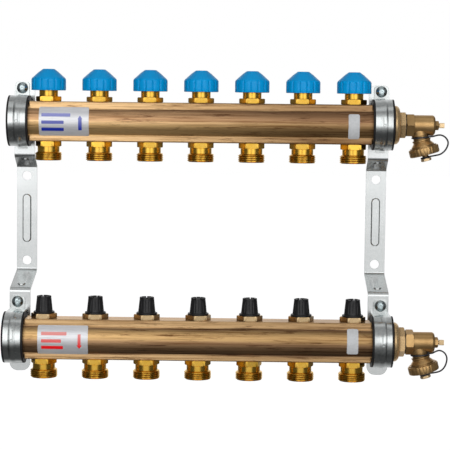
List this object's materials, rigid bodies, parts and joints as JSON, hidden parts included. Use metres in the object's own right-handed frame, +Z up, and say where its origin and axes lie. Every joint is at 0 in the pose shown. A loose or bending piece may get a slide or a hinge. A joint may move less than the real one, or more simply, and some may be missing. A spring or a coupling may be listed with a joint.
{
  "type": "heating manifold",
  "caption": "Floor heating manifold: a return bar with hand caps above a supply bar with regulating caps, clamped to bent wall brackets, with a drain valve at each bar's end.",
  "frame": {"origin": "centre of the four wall holes, on the wall's face", "axes": "+X along the bars towards the drain valves, +Y into the wall, +Z up; the front faces -Y"},
  "size_m": [0.4332, 0.0997, 0.2994],
  "materials": {
    "bar_brass": "brushed",
    "fitting_brass": "satin",
    "valve_bronze": "satin",
    "zinc_steel": "satin",
    "stainless_pin": "satin",
    "black_rubber": "matte",
    "blue_plastic": "satin",
    "black_plastic": "satin",
    "tether_plastic": "satin",
    "foil": "satin",
    "white_paper": "matte"
  },
  "bodies": {
    "manifold": {"bush_seals": "black_rubber", "clamp_bands": "zinc_steel", "clamp_linings": "black_rubber", "clamp_nuts": "zinc_steel", "clamp_screws": "zinc_steel", "end_bushes": "valve_bronze", "foil_labels": "foil", "gland_nuts": "valve_bronze", "left_bracket": "zinc_steel", "marker_labels": "white_paper", "return_bar": "bar_brass", "return_drain_body": "valve_bronze", "return_inserts": "fitting_brass", "return_nipples": "fitting_brass", "return_tether": "tether_plastic", "right_bracket": "zinc_steel", "supply_bar": "bar_brass", "supply_drain_body": "valve_bronze", "supply_inserts": "fitting_brass", "supply_nipples": "fitting_brass", "supply_tether": "tether_plastic", "valve_seals": "black_rubber"},
    "return_cap_1": {"return_cap_1": "blue_plastic"},
    "return_cap_2": {"return_cap_2": "blue_plastic"},
    "return_cap_3": {"return_cap_3": "blue_plastic"},
    "return_cap_4": {"return_cap_4": "blue_plastic"},
    "return_cap_5": {"return_cap_5": "blue_plastic"},
    "return_cap_6": {"return_cap_6": "blue_plastic"},
    "return_cap_7": {"return_cap_7": "blue_plastic"},
    "return_cap_washer": {"return_cap_washer": "black_rubber"},
    "return_drain_cap": {"return_drain_cap": "valve_bronze"},
    "return_drain_plug": {"return_drain_plug": "valve_bronze"},
    "return_drain_spindle": {"return_drain_spindle": "valve_bronze"},
    "return_pin_1": {"return_pin_1": "stainless_pin"},
    "return_pin_2": {"return_pin_2": "stainless_pin"},
    "return_pin_3": {"return_pin_3": "stainless_pin"},
    "return_pin_4": {"return_pin_4": "stainless_pin"},
    "return_pin_5": {"return_pin_5": "stainless_pin"},
    "return_pin_6": {"return_pin_6": "stainless_pin"},
    "return_pin_7": {"return_pin_7": "stainless_pin"},
    "supply_cap_1": {"supply_cap_1": "black_plastic"},
    "supply_cap_2": {"supply_cap_2": "black_plastic"},
    "supply_cap_3": {"supply_cap_3": "black_plastic"},
    "supply_cap_4": {"supply_cap_4": "black_plastic"},
    "supply_cap_5": {"supply_cap_5": "black_plastic"},
    "supply_cap_6": {"supply_cap_6": "black_plastic"},
    "supply_cap_7": {"supply_cap_7": "black_plastic"},
    "supply_cap_washer": {"supply_cap_washer": "black_rubber"},
    "supply_drain_cap": {"supply_drain_cap": "valve_bronze"},
    "supply_drain_plug": {"supply_drain_plug": "valve_bronze"},
    "supply_drain_spindle": {"supply_drain_spindle": "valve_bronze"},
    "supply_spindle_1": {"supply_spindle_1": "fitting_brass"},
    "supply_spindle_2": {"supply_spindle_2": "fitting_brass"},
    "supply_spindle_3": {"supply_spindle_3": "fitting_brass"},
    "supply_spindle_4": {"supply_spindle_4": "fitting_brass"},
    "supply_spindle_5": {"supply_spindle_5": "fitting_brass"},
    "supply_spindle_6": {"supply_spindle_6": "fitting_brass"},
    "supply_spindle_7": {"supply_spindle_7": "fitting_brass"}
  },
  "joints": [
    {"name": "return_lift_1", "type": "slide", "parent": "manifold", "child": "return_pin_1", "axis": [0, 0, 1], "range_m": [-0.003, 0]},
    {"name": "return_turn_1", "type": "hinge", "parent": "return_pin_1", "child": "return_cap_1", "pos_m": [-0.15, -0.042, 0.13875], "axis": [0, 0, 1], "range_deg": [-720, 0]},
    {"name": "return_lift_2", "type": "slide", "parent": "manifold", "child": "return_pin_2", "axis": [0, 0, 1], "range_m": [-0.003, 0]},
    {"name": "return_turn_2", "type": "hinge", "parent": "return_pin_2", "child": "return_cap_2", "pos_m": [-0.1, -0.042, 0.13875], "axis": [0, 0, 1], "range_deg": [-720, 0]},
    {"name": "return_lift_3", "type": "slide", "parent": "manifold", "child": "return_pin_3", "axis": [0, 0, 1], "range_m": [-0.003, 0]},
    {"name": "return_turn_3", "type": "hinge", "parent": "return_pin_3", "child": "return_cap_3", "pos_m": [-0.05, -0.042, 0.13875], "axis": [0, 0, 1], "range_deg": [-720, 0]},
    {"name": "return_lift_4", "type": "slide", "parent": "manifold", "child": "return_pin_4", "axis": [0, 0, 1], "range_m": [-0.003, 0]},
    {"name": "return_turn_4", "type": "hinge", "parent": "return_pin_4", "child": "return_cap_4", "pos_m": [0, -0.042, 0.13875], "axis": [0, 0, 1], "range_deg": [-720, 0]},
    {"name": "return_lift_5", "type": "slide", "parent": "manifold", "child": "return_pin_5", "axis": [0, 0, 1], "range_m": [-0.003, 0]},
    {"name": "return_turn_5", "type": "hinge", "parent": "return_pin_5", "child": "return_cap_5", "pos_m": [0.05, -0.042, 0.13875], "axis": [0, 0, 1], "range_deg": [-720, 0]},
    {"name": "return_lift_6", "type": "slide", "parent": "manifold", "child": "return_pin_6", "axis": [0, 0, 1], "range_m": [-0.003, 0]},
    {"name": "return_turn_6", "type": "hinge", "parent": "return_pin_6", "child": "return_cap_6", "pos_m": [0.1, -0.042, 0.13875], "axis": [0, 0, 1], "range_deg": [-720, 0]},
    {"name": "return_lift_7", "type": "slide", "parent": "manifold", "child": "return_pin_7", "axis": [0, 0, 1], "range_m": [-0.003, 0]},
    {"name": "return_turn_7", "type": "hinge", "parent": "return_pin_7", "child": "return_cap_7", "pos_m": [0.15, -0.042, 0.13875], "axis": [0, 0, 1], "range_deg": [-720, 0]},
    {"name": "supply_turn_1", "type": "hinge", "parent": "manifold", "child": "supply_cap_1", "pos_m": [-0.15, -0.074, -0.07825], "axis": [0, 0, 1], "range_deg": [-900, 0]},
    {"name": "supply_lift_1", "type": "slide", "parent": "supply_cap_1", "child": "supply_spindle_1", "axis": [0, 0, 1], "range_m": [-0.0025, 0]},
    {"name": "supply_turn_2", "type": "hinge", "parent": "manifold", "child": "supply_cap_2", "pos_m": [-0.1, -0.074, -0.07825], "axis": [0, 0, 1], "range_deg": [-900, 0]},
    {"name": "supply_lift_2", "type": "slide", "parent": "supply_cap_2", "child": "supply_spindle_2", "axis": [0, 0, 1], "range_m": [-0.0025, 0]},
    {"name": "supply_turn_3", "type": "hinge", "parent": "manifold", "child": "supply_cap_3", "pos_m": [-0.05, -0.074, -0.07825], "axis": [0, 0, 1], "range_deg": [-900, 0]},
    {"name": "supply_lift_3", "type": "slide", "parent": "supply_cap_3", "child": "supply_spindle_3", "axis": [0, 0, 1], "range_m": [-0.0025, 0]},
    {"name": "supply_turn_4", "type": "hinge", "parent": "manifold", "child": "supply_cap_4", "pos_m": [0, -0.074, -0.07825], "axis": [0, 0, 1], "range_deg": [-900, 0]},
    {"name": "supply_lift_4", "type": "slide", "parent": "supply_cap_4", "child": "supply_spindle_4", "axis": [0, 0, 1], "range_m": [-0.0025, 0]},
    {"name": "supply_turn_5", "type": "hinge", "parent": "manifold", "child": "supply_cap_5", "pos_m": [0.05, -0.074, -0.07825], "axis": [0, 0, 1], "range_deg": [-900, 0]},
    {"name": "supply_lift_5", "type": "slide", "parent": "supply_cap_5", "child": "supply_spindle_5", "axis": [0, 0, 1], "range_m": [-0.0025, 0]},
    {"name": "supply_turn_6", "type": "hinge", "parent": "manifold", "child": "supply_cap_6", "pos_m": [0.1, -0.074, -0.07825], "axis": [0, 0, 1], "range_deg": [-900, 0]},
    {"name": "supply_lift_6", "type": "slide", "parent": "supply_cap_6", "child": "supply_spindle_6", "axis": [0, 0, 1], "range_m": [-0.0025, 0]},
    {"name": "supply_turn_7", "type": "hinge", "parent": "manifold", "child": "supply_cap_7", "pos_m": [0.15, -0.074, -0.07825], "axis": [0, 0, 1], "range_deg": [-900, 0]},
    {"name": "supply_lift_7", "type": "slide", "parent": "supply_cap_7", "child": "supply_spindle_7", "axis": [0, 0, 1], "range_m": [-0.0025, 0]},
    {"name": "return_drain_turn", "type": "hinge", "parent": "manifold", "child": "return_drain_spindle", "pos_m": [0.236, -0.042, 0.09875], "axis": [1, 0, 0], "range_deg": [0, 720]},
    {"name": "return_drain_open", "type": "slide", "parent": "manifold", "child": "return_drain_plug", "axis": [1, 0, 0], "range_m": [0, 0.003]},
    {"name": "return_cap_out", "type": "slide", "parent": "manifold", "child": "return_cap_washer", "axis": [0.2588, 0, -0.9659], "range_m": [0, 0.00181]},
    {"name": "return_cap_turn", "type": "hinge", "parent": "return_cap_washer", "child": "return_drain_cap", "pos_m": [0.21973, -0.042, 0.07364], "axis": [0.2588, 0, -0.9659], "range_deg": [0, 360]},
    {"name": "supply_drain_turn", "type": "hinge", "parent": "manifold", "child": "supply_drain_spindle", "pos_m": [0.236, -0.074, -0.11125], "axis": [1, 0, 0], "range_deg": [0, 720]},
    {"name": "supply_drain_open", "type": "slide", "parent": "manifold", "child": "supply_drain_plug", "axis": [1, 0, 0], "range_m": [0, 0.003]},
    {"name": "supply_cap_out", "type": "slide", "parent": "manifold", "child": "supply_cap_washer", "axis": [0.2588, 0, -0.9659], "range_m": [0, 0.00181]},
    {"name": "supply_cap_turn", "type": "hinge", "parent": "supply_cap_washer", "child": "supply_drain_cap", "pos_m": [0.21973, -0.074, -0.13636], "axis": [0.2588, 0, -0.9659], "range_deg": [0, 360]}
  ],
  "couplings": [
    {"joint": "return_turn_1", "follows": "return_lift_1", "rad_per_m": 4188.8},
    {"joint": "return_turn_2", "follows": "return_lift_2", "rad_per_m": 4188.8},
    {"joint": "return_turn_3", "follows": "return_lift_3", "rad_per_m": 4188.8},
    {"joint": "return_turn_4", "follows": "return_lift_4", "rad_per_m": 4188.8},
    {"joint": "return_turn_5", "follows": "return_lift_5", "rad_per_m": 4188.8},
    {"joint": "return_turn_6", "follows": "return_lift_6", "rad_per_m": 4188.8},
    {"joint": "return_turn_7", "follows": "return_lift_7", "rad_per_m": 4188.8},
    {"joint": "supply_turn_1", "follows": "supply_lift_1", "rad_per_m": 6283.2},
    {"joint": "supply_turn_2", "follows": "supply_lift_2", "rad_per_m": 6283.2},
    {"joint": "supply_turn_3", "follows": "supply_lift_3", "rad_per_m": 6283.2},
    {"joint": "supply_turn_4", "follows": "supply_lift_4", "rad_per_m": 6283.2},
    {"joint": "supply_turn_5", "follows": "supply_lift_5", "rad_per_m": 6283.2},
    {"joint": "supply_turn_6", "follows": "supply_lift_6", "rad_per_m": 6283.2},
    {"joint": "supply_turn_7", "follows": "supply_lift_7", "rad_per_m": 6283.2},
    {"joint": "return_drain_turn", "follows": "return_drain_open", "rad_per_m": 4188.8},
    {"joint": "return_cap_turn", "follows": "return_cap_out", "rad_per_m": 3463.7},
    {"joint": "supply_drain_turn", "follows": "supply_drain_open", "rad_per_m": 4188.8},
    {"joint": "supply_cap_turn", "follows": "supply_cap_out", "rad_per_m": 3463.7}
  ]
}
